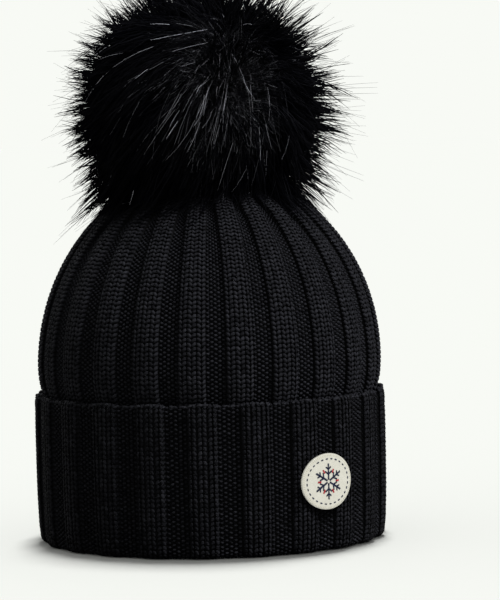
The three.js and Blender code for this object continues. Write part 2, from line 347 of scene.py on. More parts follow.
def dome_row(degrees):
    """A row of the crown's table on the dome: radius and height on a rib and in a groove, share, lean."""
    angle = math.radians(degrees)
    radius = CROWN_RADIUS * math.cos(angle)
    groove = groove_depth(radius)
    return (
        radius,
        DOME_BASE + DOME_HEIGHT * math.sin(angle),
        (CROWN_RADIUS - groove) * math.cos(angle),
        DOME_BASE + (DOME_HEIGHT - groove) * math.sin(angle),
        CROWN_SHARE + 0.2 * smoothstep(CROWN_RADIUS - radius, low=8, high=62),
        DOME_LEAN * math.sin(2 * angle),
    )


# The crown, from its foot inside the cuff to the gathered hole. The columns are radius and height on a rib,
# the same in a groove, the share of the repeat that is raised, and the lean towards +X.
foot = [
    (81.85, 6.15, 81.85, 6.15),
    (82.4, 12.6, 81.3, 12.6),
    (82.4, 40, 81.3, 40),
    (82.5, 70, 81.3, 70),
    (83.2, 73.6, 81.4, 73.6),
    (84.4, 77.5, 82.2, 77.5),
]
dome = [dome_row(degrees) for degrees in DOME_DEGREES]
crown_path = smooth_path([(*row, CROWN_SHARE, 0) for row in foot] + dome)


def length_at(path, column, value):
    """The length along a path at which one of its columns comes closest to a value."""
    return path[np.argmin(np.abs(path[:, column] - value)), 0]


def spun_thread(name, dark, light, specular):
    """Thread of two plies, between two shades by each stitch's own tone, with any painted highlight or shade
    added to it, and a mottling about 1 mm across. The ply twist is drawn on each stitch's own coordinates,
    about 1 mm long, with fine fibres over it."""
    plies, twists = 2, 3
    material, tree = new_material(name)
    surface = add_node(tree, "ShaderNodeTexCoord").outputs["Object"]
    tone = add_node(tree, "ShaderNodeAttribute", {"attribute_name": "tone"})
    patches = add_node(tree, "ShaderNodeTexNoise", {"Scale": 1000.0, "Detail": 3.0, "Roughness": 0.65}, {
        "Vector": surface,
    })
    lighter = add_node(tree, "ShaderNodeMath", {"operation": "MULTIPLY_ADD", 1: 1.5, 2: -0.75}, {
        0: patches.outputs["Fac"],
    })
    shade = add_node(tree, "ShaderNodeMath", {"operation": "ADD", "use_clamp": True}, {
        0: lighter.outputs[0],
        1: tone.outputs["Fac"],
    })
    shades = {"data_type": "RGBA", 6: linear(dark), 7: linear(light)}
    colour = add_node(tree, "ShaderNodeMix", shades, {0: shade.outputs[0]})
    place = add_node(tree, "ShaderNodeAttribute", {"attribute_name": "yarn_uv"})
    twist = {"operation": "DOT_PRODUCT", 1: (2 * math.pi * plies, 2 * math.pi * twists, 0)}
    ply_phase = add_node(tree, "ShaderNodeVectorMath", twist, {0: place.outputs["Vector"]})
    ply = add_node(tree, "ShaderNodeMath", {"operation": "SINE"}, {0: ply_phase.outputs["Value"]})
    fibres = add_node(tree, "ShaderNodeTexNoise", {"Scale": 2500.0, "Detail": 2.0}, {"Vector": surface})
    relief = add_node(tree, "ShaderNodeMath", {"operation": "MULTIPLY_ADD", 1: 0.35}, {
        0: ply.outputs[0],
        2: fibres.outputs["Fac"],
    })
    bump = add_node(tree, "ShaderNodeBump", {"Strength": 0.6, "Distance": 0.0002}, {
        "Height": relief.outputs[0],
    })
    shader = add_node(
        tree, "ShaderNodeBsdfPrincipled",
        {"Roughness": 0.85, "IOR": 1.54, "Specular IOR Level": specular},
        {"Base Color": colour.outputs[2], "Normal": bump.outputs[0]},
    )
    add_node(tree, "ShaderNodeOutputMaterial", links={"Surface": shader.outputs[0]})
    return material


# Black merino yarn, spun soft: matt, with each stitch in its own shade. Some parts' tones also carry painted
# highlight and painted shade.
yarn = spun_thread("black merino yarn", "#030304", "#161619", 0.02)

# The same yarn seen as a knitted face: the wall under the stitches and the cap's inside. Rows of V stitches,
# 4.5 mm wide and 2.25 mm high, come from the wale and row counts. Their colour darkens down into the hollows
# of this relief, as painted shade between the legs.
knit_face, tree = new_material("black merino rib, inside")
knit_place = add_node(tree, "ShaderNodeAttribute", {"attribute_name": "knit_uv"})
knit_parts = add_node(tree, "ShaderNodeSeparateXYZ", links={"Vector": knit_place.outputs["Vector"]})
in_wale = add_node(tree, "ShaderNodeMath", {"operation": "PINGPONG", 1: 0.5}, {0: knit_parts.outputs["X"]})
vee_rise = add_node(tree, "ShaderNodeMath", {"operation": "MULTIPLY_ADD", 1: 1.1}, {
    0: in_wale.outputs[0],
    2: knit_parts.outputs["Y"],
})
row_wave = add_node(tree, "ShaderNodeMath", {"operation": "PINGPONG", 1: 0.5}, {0: vee_rise.outputs[0]})
leg_wave = add_node(tree, "ShaderNodeMath", {"operation": "PINGPONG", 1: 0.25}, {0: in_wale.outputs[0]})
stitch_relief = add_node(tree, "ShaderNodeMath", {"operation": "MULTIPLY"}, {
    0: row_wave.outputs[0],
    1: leg_wave.outputs[0],
})
knit_shade = add_node(tree, "ShaderNodeMapRange", {"From Min": 0.0, "From Max": 0.12}, {
    "Value": stitch_relief.outputs[0],
})
knit_shades = {"data_type": "RGBA", 6: linear("#030303"), 7: linear("#111114")}
knit_colour = add_node(tree, "ShaderNodeMix", knit_shades, {0: knit_shade.outputs[0]})
knit_bump = add_node(tree, "ShaderNodeBump", {"Strength": 0.9, "Distance": 0.001}, {
    "Height": knit_shade.outputs[0],
})
knit_shader = add_node(
    tree, "ShaderNodeBsdfPrincipled",
    {"Roughness": 0.9, "IOR": 1.54, "Specular IOR Level": 0.02},
    {"Base Color": knit_colour.outputs[2], "Normal": knit_bump.outputs[0]},
)
add_node(tree, "ShaderNodeOutputMaterial", links={"Surface": knit_shader.outputs[0]})

# The knitted wall itself. Its rings stand closer together where stitches are laid on it, from the cuff's rim
# to where fur covers it.
RADIUS, HEIGHT = 1, 2
OUTSIDE_STEP, INSIDE_STEP = 3.2, 4.5
rim_line = length_at(crown_path, HEIGHT, 71.0)
fur_line = length_at(crown_path, RADIUS, 37.0)
crown_end = crown_path[-1, 0]


def wall_lift(along, sinks, rises):
    """The height of the wall over its path. It sinks under the stitches and rises again, each over a stretch
    of the path."""
    return float(-STITCH_DEPTH * (smoothstep(along, *sinks) * (1 - smoothstep(along, *rises))))


outside = np.r_[np.linspace(0, rim_line - 8, 8), np.arange(rim_line - 5, crown_end, OUTSIDE_STEP), crown_end]
inside = np.r_[np.linspace(0, rim_line, 16)[:-1], np.arange(rim_line, crown_end, INSIDE_STEP), crown_end]
sinks, rises = (rim_line - 6, rim_line), (fur_line, fur_line + 8)
stations = [(along, wall_lift(along, sinks, rises)) for along in outside]
stations += [(along, -KNIT_WALL) for along in inside[::-1]]
crown_wall = new_piece(grid_mesh("crown_wall", *ribbed_wall(crown_path, CROWN_RIBS, stations)), knit_face)


def open_tree(name, sockets):
    """A Geometry Nodes tree with named inputs, and what comes in through them."""
    tree = bpy.data.node_groups.new(name, "GeometryNodeTree")
    for label, kind in {"Geometry": "Geometry", **sockets, "Material": "Material"}.items():
        tree.interface.new_socket(label, in_out="INPUT", socket_type="NodeSocket" + kind)
    tree.interface.new_socket("Geometry", in_out="OUTPUT", socket_type="NodeSocketGeometry")
    return tree, add_node(tree, "NodeGroupInput").outputs


def close_tree(tree, geometry, material):
    """Ends a tree in real, smooth geometry of one material."""
    real = add_node(tree, "GeometryNodeRealizeInstances", links={"Geometry": geometry})
    smooth = add_node(tree, "GeometryNodeSetShadeSmooth", links={"Geometry": real.outputs[0]})
    painted = add_node(tree, "GeometryNodeSetMaterial", links={
        "Geometry": smooth.outputs[0],
        "Material": material,
    })
    add_node(tree, "NodeGroupOutput", links={"Geometry": painted.outputs[0]})
    return tree


def grain_tree():
    """Sets one stitch of yarn on each point: a plump grain, pointed at both ends. It lies along the point's
    "along" and faces its "out", with the thickness, width and length in its "fit"."""
    tree, given = open_tree(
        "yarn grains", {"Sides": "Int", "Rings": "Int", "Size variation": "Float", "Seed": "Int"})
    grain = add_node(tree, "GeometryNodeMeshUVSphere", {"Radius": 0.5}, {
        "Segments": given["Sides"],
        "Rings": given["Rings"],
    })
    marked = add_node(
        tree, "GeometryNodeStoreNamedAttribute",
        {"data_type": "FLOAT2", "domain": "CORNER", "Name": "yarn_uv"},
        {"Geometry": grain.outputs["Mesh"], "Value": grain.outputs["UV Map"]},
    )
    along, out, fit = (
        add_node(tree, "GeometryNodeInputNamedAttribute", {"data_type": "FLOAT_VECTOR", "Name": name})
        for name in ("along", "out", "fit")
    )
    turn = add_node(tree, "FunctionNodeAxesToRotation", {"primary_axis": "Z", "secondary_axis": "X"}, {
        "Primary Axis": along.outputs[0],
        "Secondary Axis": out.outputs[0],
    })
    smallest, largest = (
        add_node(tree, "ShaderNodeMath", {"operation": operation, 0: 1.0}, {1: given["Size variation"]})
        for operation in ("SUBTRACT", "ADD")
    )
    size = add_node(tree, "FunctionNodeRandomValue", {"data_type": "FLOAT"}, {
        2: smallest.outputs[0],
        3: largest.outputs[0],
        "Seed": given["Seed"],
    })
    scale = add_node(tree, "ShaderNodeVectorMath", {"operation": "SCALE"}, {
        0: fit.outputs[0],
        "Scale": size.outputs[1],
    })
    placed = add_node(tree, "GeometryNodeInstanceOnPoints", links={
        "Points": given["Geometry"],
        "Instance": marked.outputs[0],
        "Rotation": turn.outputs[0],
        "Scale": scale.outputs[0],
    })
    return close_tree(tree, placed.outputs[0], given["Material"])


def grown(mesh, tree, inputs):
    """A piece named as a mesh, with what a tree makes of the mesh. inputs are by socket name."""
    piece = bpy.data.objects.new(mesh.name, mesh)
    scene.collection.objects.link(piece)
    modifier = piece.modifiers.new(tree.name, "NODES")
    modifier.node_group = tree
    for item in tree.interface.items_tree:
        if item.in_out == "INPUT" and item.name in inputs:
            modifier[item.identifier] = inputs[item.name]
    graph = bpy.context.evaluated_depsgraph_get()
    result = bpy.data.meshes.new_from_object(piece.evaluated_get(graph))
    piece.modifiers.clear()
    piece.data = result
    for name in ("along", "out", "fit", "thickness"):
        if name in result.attributes:
            result.attributes.remove(result.attributes[name])
    return piece


GRAINS = grain_tree()


def lay_stitches(name, grains, material, seed):
    """One piece of stitches from lists of (place, along, out, fit, tone) arrays, in mm."""
    place, along, out, fit, tone = (np.concatenate([g[i] for g in grains]) for i in range(5))
    mesh = bpy.data.meshes.new(name)
    mesh.vertices.add(len(place))
    mesh.vertices.foreach_set("co", (place * MM).ravel())
    for label, values in (("along", along), ("out", out), ("fit", fit * MM)):
        mesh.attributes.new(label, "FLOAT_VECTOR", "POINT").data.foreach_set("vector", values.ravel())
    mesh.attributes.new("tone", "FLOAT", "POINT").data.foreach_set("value", tone)
    inputs = {"Sides": 5, "Rings": 3, "Size variation": 0.06, "Seed": seed, "Material": material}
    return grown(mesh, GRAINS, inputs)


# A knit stitch is a V of two legs, on wales up to 4.4 mm wide. A purl stitch shows as bars, up to 2 mm apart.
# Both are sunk a little into the wall, and no stitch goes lower than the floor allows.
LEG_LENGTH, LEG_WIDTH, LEG_DEPTH, LEG_LIFT = 3.0, 2.0, 1.15, -0.4
LEG_FROM_MIDDLE = 0.235
FULL_WALE = 4.4
WALE_OVERLAP = 1.06
BAR_LENGTH, BAR_WIDTH, BAR_DEPTH, BAR_LIFT = 2.15, 1.35, 1.7, -0.3
BAR_SLANT = 0.15
# The purl bars' yarn is painted paler than the knit legs: a painted highlight on their bumps.
BAR_PAINTED_HIGHLIGHT = 0.12
FULL_BAR = 2.0
PURL_MARGIN = 0.2
LOWEST_STITCH = 0.75
ANGLE_JITTER, PLACE_JITTER, TONE_JITTER = 0.09, 0.1, 0.15
random = np.random.default_rng(11)


def band_places(ribs, first, last, columns):
    """The rib, the column and the length along the path of every stitch on the bands of one kind."""
    rows = np.arange(first, last, ROW_PITCH)
    rib, column, row = (g.ravel() for g in np.meshgrid(
        range(RIB_COUNT), range(columns), range(len(rows)), indexing="ij"))
    return ribs["centre"] + rib * RIB_PITCH, column - (columns - 1) / 2, rows[row]


def stitch_grains(path, ribs, even, along, lift, leaning, fit, tone):
    """Stitches on the knit. leaning is how far each one's length turns from across (0) to up the wales (1, or
    -1 where it leans to the other side)."""
    across, up, out = knit_axes(path, ribs, even, along, lift)
    jitter = random.normal(0, 1, (3, len(even)))
    angle = np.arcsin(np.clip(leaning, -1, 1)) + ANGLE_JITTER * jitter[0]
    way = across * np.cos(angle)[:, None] + up * np.sin(angle)[:, None]
    centre = knit_point(path, ribs, even, along + PLACE_JITTER * jitter[1], lift)
    centre[:, 2] = np.maximum(centre[:, 2], LOWEST_STITCH)
    return centre, way, out, fit, np.clip(ribs["tone"] + tone + TONE_JITTER * jitter[2], 0, 1)


def wale_width(path, ribs, even, along, turn):
    """How wide a turn of so many degrees is on the ribs, in mm."""
    radius = np.interp(along, path[:, 0], path[:, 1])
    return radius * np.radians(turn) * (1 + ribs["spread"] * np.cos(np.radians(even)))


def knit_stitches(path, ribs, first, last, point_down):
    """The knit face: each stitch is a V of two legs. point_down is 1 for a V and -1 for one upside down."""
    middle, wale, along = band_places(ribs, first, last, KNIT_WALES)
    turn = WALE_OVERLAP * RIB_PITCH * raised_share(path, along) / KNIT_WALES
    even = middle + wale * turn
    tight = np.minimum(1, wale_width(path, ribs, even, along, turn) / FULL_WALE)
    depth = LEG_DEPTH * ribs["relief"] * tight
    fit = np.stack([depth, LEG_WIDTH * tight, np.full_like(tight, LEG_LENGTH)], axis=-1)
    leaning = math.cos(math.radians(ribs["tilt"]))
    legs = []
    for side in (-1, 1):
        leg = even + side * turn * LEG_FROM_MIDDLE
        legs.append(stitch_grains(path, ribs, leg, along, LEG_LIFT, side * point_down * leaning, fit, 0))
    return legs


def purl_stitches(path, ribs, first, last):
    """The purl face between the ribs: columns of short bars, each column half a row above the next."""
    middle, column, along = band_places(ribs, first, last, PURL_COLUMNS)
    turn = RIB_PITCH * (1 - raised_share(path, along)) / (PURL_COLUMNS + PURL_MARGIN)
    even = middle + RIB_PITCH / 2 + column * turn
    odd = column % 2
    along = along + ROW_PITCH / 2 * odd
    tight = np.minimum(1, wale_width(path, ribs, even, along, turn) / FULL_BAR)
    same = np.ones_like(tight)
    fit = np.stack([BAR_DEPTH * same, BAR_WIDTH * same, BAR_LENGTH * tight], axis=-1)
    return [stitch_grains(path, ribs, even, along, BAR_LIFT, BAR_SLANT * (2 * odd - 1), fit, BAR_PAINTED_HIGHLIGHT)]


crown_knit = lay_stitches("crown_knit", knit_stitches(crown_path, CROWN_RIBS, rim_line, fur_line, 1), yarn, 1)
crown_purl = lay_stitches("crown_purl", purl_stitches(crown_path, CROWN_RIBS, rim_line, fur_line), yarn, 2)
for piece in (crown_wall, crown_knit, crown_purl):
    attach(piece, "root")
    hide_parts("crown")


# The cuff is the end of the same knit, turned up over the crown's foot. It is folded at the floor, where its
# ribs bear on it, stands 74 mm high and ends in a soft rounded rim. Its stitches stand upside down.
# The cuff's tone is lower than the crown's: the same yarn, with painted shade on the cuff.
CUFF_RIBS = {"centre": -1.8, "spread": 0.13, "tone": 0.27, "tilt": 28, "relief": 0.45}
CUFF_SHARE = 0.545

# The cuff's section: from the inside of the fold round under it, up outside, over the rim and down inside.
cuff_rows = [
    (79.05, 6.15, 79.05, 6.15),
    (79.5, 2.2, 79.6, 2.4),
    (81.2, 0.25, 81.0, 1.1),
    (83.7, 0.0, 82.9, 0.9),
    (85.9, 1.9, 84.4, 2.4),
    (86.8, 6.5, 84.9, 6.5),
    (87.4, 17.0, 85.0, 17.0),
    (87.8, 42.0, 85.3, 42.0),
    (87.7, 66.0, 85.2, 66.0),
    (87.5, 71.8, 85.4, 71.4),
    (86.7, 73.8, 84.9, 73.2),
    (85.7, 73.7, 84.1, 73.2),
    (85.0, 71.6, 83.6, 71.2),
    (84.6, 40.0, 83.4, 40.0),
    (84.2, 9.0, 83.2, 9.0),
    (83.0, 4.6, 82.9, 4.6),
    (81.85, 6.15, 81.85, 6.15),
]
cuff_path = smooth_path([(*row, CUFF_SHARE, 0) for row in cuff_rows])
cuff_end = cuff_path[-1, 0]

# Stitches cover it from the middle of the fold to just over the rim. Its rings stand closest at both bends.
FOLD_STEP, SIDE_STEP, RIM_STEP = 1.4, 3.4, 1.2
fold_line = length_at(cuff_path, RADIUS, 81.6)
crest_line = cuff_path[np.argmax(cuff_path[:, HEIGHT]), 0]
rim_end = crest_line + 3.5
outside = np.r_[
    np.arange(0, fold_line + 8, FOLD_STEP),
    np.arange(fold_line + 8, rim_end - 6, SIDE_STEP),
    np.arange(rim_end - 6, rim_end + 3, RIM_STEP),
    np.linspace(rim_end + 3, cuff_end, 10),
]
sinks, rises = (fold_line - 2, fold_line), (rim_end - 1, rim_end + 2)
stations = [(along, wall_lift(along, sinks, rises)) for along in outside]
cuff_wall = new_piece(grid_mesh("cuff_wall", *ribbed_wall(cuff_path, CUFF_RIBS, stations)), knit_face)
cuff_knit = lay_stitches("cuff_knit", knit_stitches(cuff_path, CUFF_RIBS, fold_line, rim_end, -1), yarn, 3)
cuff_purl = lay_stitches("cuff_purl", purl_stitches(cuff_path, CUFF_RIBS, fold_line, rim_end), yarn, 4)

# The last row is cast off over the rim: a chain of slanting loops, painted a little paler as a highlight
# where they catch the light.
LOOPS_PER_RIB = 6
LOOP_SIZE = np.array([1.6, 1.6, 3.6])
LOOP_LIFT, LOOP_SLANT, LOOP_PAINTED_HIGHLIGHT = -0.45, 0.35, 0.4
loop_count = RIB_COUNT * LOOPS_PER_RIB
even = np.arange(loop_count) * RIB_PITCH / LOOPS_PER_RIB + random.normal(0, 0.25, loop_count)
crest = crest_line + random.normal(0, 0.3, loop_count)
fit = LOOP_SIZE * random.uniform(0.9, 1.1, (loop_count, 1))
loops = stitch_grains(cuff_path, CUFF_RIBS, even, crest, LOOP_LIFT, LOOP_SLANT, fit, LOOP_PAINTED_HIGHLIGHT)
cuff_rim = lay_stitches("cuff_rim_loops", [loops], yarn, 8)
for piece in (cuff_wall, cuff_knit, cuff_purl, cuff_rim):
    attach(piece, "root")
    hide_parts("cuff")


# The tie holds the pompom: a plain post through the gathered top, with a flat disc inside the cap. It is
# moulded in one piece from black nylon, and nothing of it shows from outside.
TIE_RADIUS = 1.5
TIE_TOP = 203.0
DISC_RADIUS = 8.0
DISC_TOP = 179.3
DISC_THICKNESS = 1.6
EDGE = 0.4
TIE_SIDES = 24

# Moulded black nylon, satin, with the fine grain of its mould.
nylon, tree = new_material("moulded black nylon")
surface = add_node(tree, "ShaderNodeTexCoord").outputs["Object"]
mould_grain = add_node(tree, "ShaderNodeTexNoise", {"Scale": 3000.0, "Detail": 2.0}, {"Vector": surface})
nylon_bump = add_node(tree, "ShaderNodeBump", {"Strength": 0.3, "Distance": 0.0001}, {
    "Height": mould_grain.outputs["Fac"],
})
nylon_shader = add_node(
    tree, "ShaderNodeBsdfPrincipled",
    {"Base Color": linear("#121213"), "Roughness": 0.42, "IOR": 1.53},
    {"Normal": nylon_bump.outputs[0]},
)
add_node(tree, "ShaderNodeOutputMaterial", links={"Surface": nylon_shader.outputs[0]})


def rounded(corner, way_in, way_out, edge):
    """Three points that round a profile's corner, given the directions of its two sides from it."""
    return corner + edge * np.array([way_in, np.add(way_in, way_out) / 4, way_out])


disc_low = DISC_TOP - DISC_THICKNESS
tie_rings = turned_rings([
    (DISC_RADIUS / 2, disc_low),
    *rounded((DISC_RADIUS, disc_low), (-1, 0), (0, 1), EDGE),
    *rounded((DISC_RADIUS, DISC_TOP), (0, -1), (-1, 0), EDGE),
    *rounded((TIE_RADIUS, DISC_TOP), (1, 0), (0, 1), EDGE),
    *rounded((TIE_RADIUS, TIE_TOP), (0, -1), (-1, 0), EDGE),
], TIE_SIDES)
tie = new_piece(ringed_mesh("pompom_post", (0, 0, disc_low), tie_rings, (0, 0, TIE_TOP)), nylon)
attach(tie, "root")
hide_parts("pompom_tie")


# The pompom is a ball of long black fur on a round backing, tied on through it. The pile is 10 to 30 mm long,
# gathers in pointed locks, and is swept away from one whorl on the upper right of its front.
BALL_CENTRE = np.array([-1.8, -2.0, 214.5])
WHORL = unit(np.array([24.4, -54.1, 18.0]))
LONG_SIDE = unit(np.array([1.0, -0.1, 0.45]))
DENSE_RADIUS = 55.8
LOW_SPREAD = 6.5
PARTING_TURN, PARTING_WIDTH, PARTING_DEPTH = 33, 15, 0.75


def fur_reach(outward):
    """Radius of the dense fur in a direction. Low down it spreads out over the dome, less so at one parting
    to the right of the front."""
    from_parting = np.degrees(np.arctan2(outward[..., 0], -outward[..., 1])) - PARTING_TURN
    parting = 1 - PARTING_DEPTH * np.exp(-(from_parting / PARTING_WIDTH) ** 2)
    return DENSE_RADIUS + LOW_SPREAD * smoothstep(-outward[..., 2], low=0.28, high=0.66) * parting


def clear_of_dome(points, gap):
    """Points moved out of the dome, to rest at least a gap over its ribs."""
    middle = np.array([DOME_LEAN / 2, 0, DOME_BASE])
    radii = np.array([CROWN_RADIUS, CROWN_RADIUS, DOME_HEIGHT]) + gap
    offset = (points - middle) / radii
    depth = np.maximum(np.linalg.norm(offset, axis=-1, keepdims=True), 1e-6)
    return np.where(depth < 1, middle + offset / depth * radii, points)


def spread_directions(count, lowest):
    """Directions spread evenly over the ball in a golden spiral, down to a lowest height."""
    index = np.arange(count)
    height = 1 - (1 - lowest) * (index + 0.5) / count
    turn = index * math.pi * (3 - math.sqrt(5))
    flat = np.sqrt(1 - height ** 2)
    return np.stack([flat * np.cos(turn), flat * np.sin(turn), height], axis=-1)


# Long glossy fur fibre, dyed black, a little blue. Its shine and the undyed hairs are drawn by each hair's
# own tone, up to grey, because the hairs are too fine for the render to show highlights on them.
fur, tree = new_material("glossy black fur")
hair_tone = add_node(tree, "ShaderNodeAttribute", {"attribute_name": "tone"})
fur_shades = {"data_type": "RGBA", 6: linear("#010102"), 7: linear("#a8a8b0")}
fur_colour = add_node(tree, "ShaderNodeMix", fur_shades, {0: hair_tone.outputs["Fac"]})
fur_shader = add_node(
    tree, "ShaderNodeBsdfPrincipled",
    {"Roughness": 0.35, "IOR": 1.55, "Specular IOR Level": 0.001},
    {"Base Color": fur_colour.outputs[2]},
)
add_node(tree, "ShaderNodeOutputMaterial", links={"Surface": fur_shader.outputs[0]})

# Felted black backing that the fur grows from. It shows only as depth between the locks.
backing, tree = new_material("black fur backing")
surface = add_node(tree, "ShaderNodeTexCoord").outputs["Object"]
matting = add_node(tree, "ShaderNodeTexNoise", {"Scale": 600.0, "Detail": 3.0}, {"Vector": surface})
backing_shades = {"data_type": "RGBA", 6: linear("#010101"), 7: linear("#060607")}
backing_colour = add_node(tree, "ShaderNodeMix", backing_shades, {0: matting.outputs["Fac"]})
backing_bump = add_node(tree, "ShaderNodeBump", {"Strength": 0.8, "Distance": 0.0008}, {
    "Height": matting.outputs["Fac"],
})
backing_shader = add_node(
    tree, "ShaderNodeBsdfPrincipled",
    {"Roughness": 0.95, "Specular IOR Level": 0.001},
    {"Base Color": backing_colour.outputs[2], "Normal": backing_bump.outputs[0]},
)
add_node(tree, "ShaderNodeOutputMaterial", links={"Surface": backing_shader.outputs[0]})

# The backing is a ball, flattened on the dome, with a narrow hole for the tie.
BACKING_DEPTH = 8.0
BACKING_RINGS, BACKING_SIDES = 34, 48
DOME_GAP, TIE_GAP = 1.2, 0.3
polar, turn = np.meshgrid(
    np.linspace(0, np.pi, BACKING_RINGS + 2)[1:-1],
    np.linspace(0, 2 * np.pi, BACKING_SIDES + 1)[:-1],
    indexing="ij")
ways = np.stack([np.sin(polar) * np.cos(turn), np.sin(polar) * np.sin(turn), np.cos(polar)], axis=-1)
ball = clear_of_dome(BALL_CENTRE + ways * (fur_reach(ways) - BACKING_DEPTH)[..., None], DOME_GAP)
tie_hole = turned_rings([
    (TIE_RADIUS + TIE_GAP, DOME_BASE + DOME_HEIGHT + DOME_GAP),
    (TIE_RADIUS + TIE_GAP, TIE_TOP + TIE_GAP),
], BACKING_SIDES)
ball = np.concatenate([ball, tie_hole])
ball_top = BALL_CENTRE + (0, 0, DENSE_RADIUS - BACKING_DEPTH)
hole_top = (0, 0, TIE_TOP + TIE_GAP)
pompom_backing = new_piece(ringed_mesh("pompom_backing", ball_top, ball, hole_top), backing)


def hair_tree():
    """Turns lines of points into tapered hairs, as thick at each point as its "thickness" says."""
    tree, given = open_tree("tapered hairs", {"Sides": "Int"})
    line = add_node(tree, "GeometryNodeMeshToCurve", links={"Mesh": given["Geometry"]})
    section = add_node(tree, "GeometryNodeCurvePrimitiveCircle", {"Radius": 1.0}, {
        "Resolution": given["Sides"],
    })
    thickness = add_node(tree, "GeometryNodeInputNamedAttribute", {"data_type": "FLOAT", "Name": "thickness"})
    tube = add_node(tree, "GeometryNodeCurveToMesh", {"Fill Caps": True}, {
        "Curve": line.outputs[0],
        "Profile Curve": section.outputs[0],
        "Scale": thickness.outputs[0],
    })
    return close_tree(tree, tube.outputs[0], given["Material"])


HAIRS = hair_tree()


def grow_hairs(name, lines, draw, tone, root, tip):
    """One piece of fur along lines of points in mm. Its hairs thin from a radius at the root to one at the
    tip, and have a tone for each point or for each hair."""
    count, steps = lines.shape[:2]
    taper = 1 - np.linspace(0, 1, steps) ** 2.2
    thickness = tip + (root - tip) * taper * draw.uniform(0.75, 1.25, count)[:, None]
    mesh = bpy.data.meshes.new(name)
    start = np.arange(count)[:, None] * steps + np.arange(steps - 1)[None, :]
    edges = np.stack([start, start + 1], axis=-1).reshape(-1, 2)
    mesh.from_pydata(lines.reshape(-1, 3) * MM, edges.tolist(), [])
    mesh.attributes.new("thickness", "FLOAT", "POINT").data.foreach_set("value", thickness.ravel() * MM)
    tones = np.broadcast_to(tone, (count, steps)).ravel()
    mesh.attributes.new("tone", "FLOAT", "POINT").data.foreach_set("value", tones)
    return grown(mesh, HAIRS, {"Sides": 3, "Material": fur})


# Hairs grow in locks, from 2 mm inside the backing. Their places along themselves run from 0 to 1.
LOCKS = 2800
LOWEST_LOCK = -0.8
LOCK_WIDTH = 0.022
LOCK_UNEVENNESS = 0.012
LOCK_DRIFT = 0.05
ROOT_LENGTH = 2.0
HAIR_STEPS = np.array([0.0, 0.36, 0.7, 1.0])
HAIR_BEND = 1.3

# The front of the pile lies over by LAID_DEPTH and falls to the lower left, each hair a little its own way.
FRONT = np.array([0.0, -1.0, 0.05])
FALL = np.array([-0.22, 0.0, -1.0])
FLOW_SCATTER = 0.17
UPRIGHT_LEAN = 0.05
LAID_DEPTH = 4.0

# Three crossing waves raise and sink the locks, so that the dense fur is tufted.
TUFT_WAVES = np.array([[17.0, 8.0, -11.0], [-9.0, 15.0, 16.0], [5.0, -6.0, 23.0]]).T
TUFT_HEIGHT = 1.3

# Where the pile shines, and how wide the hairs that show it are scattered.
SHINE = unit(np.array([0.3, -0.92, 0.27]))
SHINE_SPREAD = (0.2, 0.1, 0.28)


def fur_lines(count, seed, tips, gather, steps=HAIR_STEPS, about=None, lying=0.6):
    """Lines of a number of hairs, all round the ball or scattered about one direction. tips are the shortest
    and longest reach past the dense fur, gather is how far the tips of a lock come together, and steps are
    the places of a line's points. The pile stands on end, longest on one side and low down. On the front it
    lies over, away from the whorl, as far as lying says."""
    draw = np.random.default_rng(seed)
    if about is None:
        uneven = draw.normal(0, LOCK_UNEVENNESS, (LOCKS, 3))
        lock_way = unit(spread_directions(LOCKS, LOWEST_LOCK) + uneven)
    else:
        lock_way = unit(about + draw.normal(0, 1, (LOCKS, 3)) * SHINE_SPREAD)
    lock_tip = draw.uniform(0, 1, LOCKS) ** 1.3
    lock_lean = draw.uniform(0.4, 1.5, LOCKS)
    lock_drift = draw.normal(0, LOCK_DRIFT, (LOCKS, 3))
    lock = draw.integers(0, LOCKS, count)
    root_way = unit(lock_way[lock] + draw.normal(0, LOCK_WIDTH, (count, 3)))
    facing = np.sum(root_way * WHORL, axis=-1)
    on_front = smoothstep(root_way @ FRONT, low=0.25, high=0.8)
    laid_over = on_front * smoothstep(-facing, low=-0.99, high=-0.8)
    sweep = unit(root_way * facing[:, None] - WHORL + FALL + draw.normal(0, FLOW_SCATTER, (count, 3)))
    lean = (UPRIGHT_LEAN + lying * laid_over) * lock_lean[lock] * draw.uniform(0.7, 1.3, count)
    dense = fur_reach(root_way) + TUFT_HEIGHT * np.sin(lock_way[lock] @ TUFT_WAVES).sum(axis=-1)
    root = dense - BACKING_DEPTH - ROOT_LENGTH
    on_long_side = smoothstep(root_way @ LONG_SIDE, low=0.5, high=0.9)
    low_down = smoothstep(-root_way[:, 2], low=0.3, high=0.6)
    longest = tips[1] - tips[0] + tips[1] * (0.4 * on_long_side + 0.5 * low_down)
    reach = dense + tips[0] + longest * lock_tip[lock] * draw.uniform(0.4, 1.0, count)
    reach -= LAID_DEPTH * laid_over
    lines = []
    for step in steps:
        bend = step ** HAIR_BEND
        turned = sweep * (lean * bend)[:, None] + lock_drift[lock] * bend
        way = unit(root_way + turned) * (1 - gather * step) + unit(lock_way[lock] + turned) * gather * step
        lines.append(BALL_CENTRE + unit(way) * (root + (reach - root) * step)[:, None])
    return clear_of_dome(np.stack(lines, axis=1), gap=0.8), draw


# Dense, dead black underfur fills the ball. Its hairs are hidden but for their tips, so they are straight.
lines, draw = fur_lines(14000, seed=21, tips=(-4, 7.5), gather=0.6, steps=HAIR_STEPS[::3])
tone = draw.uniform(0, 0.001, (len(lines), 1))
underfur = grow_hairs("pompom_underfur", lines, draw, tone, root=0.36, tip=0.07)

# The topcoat makes the pointed locks. It is drawn from where it leaves the underfur.
lines, draw = fur_lines(12000, seed=22, tips=(0, 18.5), gather=0.75, steps=HAIR_STEPS[1:])
tone = draw.uniform(0, 0.006, (len(lines), 1))
topcoat = grow_hairs("pompom_topcoat", lines, draw, tone, root=0.28, tip=0.07)

# Long single hairs fly out all round.
lines, draw = fur_lines(2400, seed=23, tips=(4, 27), gather=0.2)
guard_hairs = grow_hairs("pompom_flyaway_hairs", lines, draw, tone=0.0, root=0.11, tip=0.035)
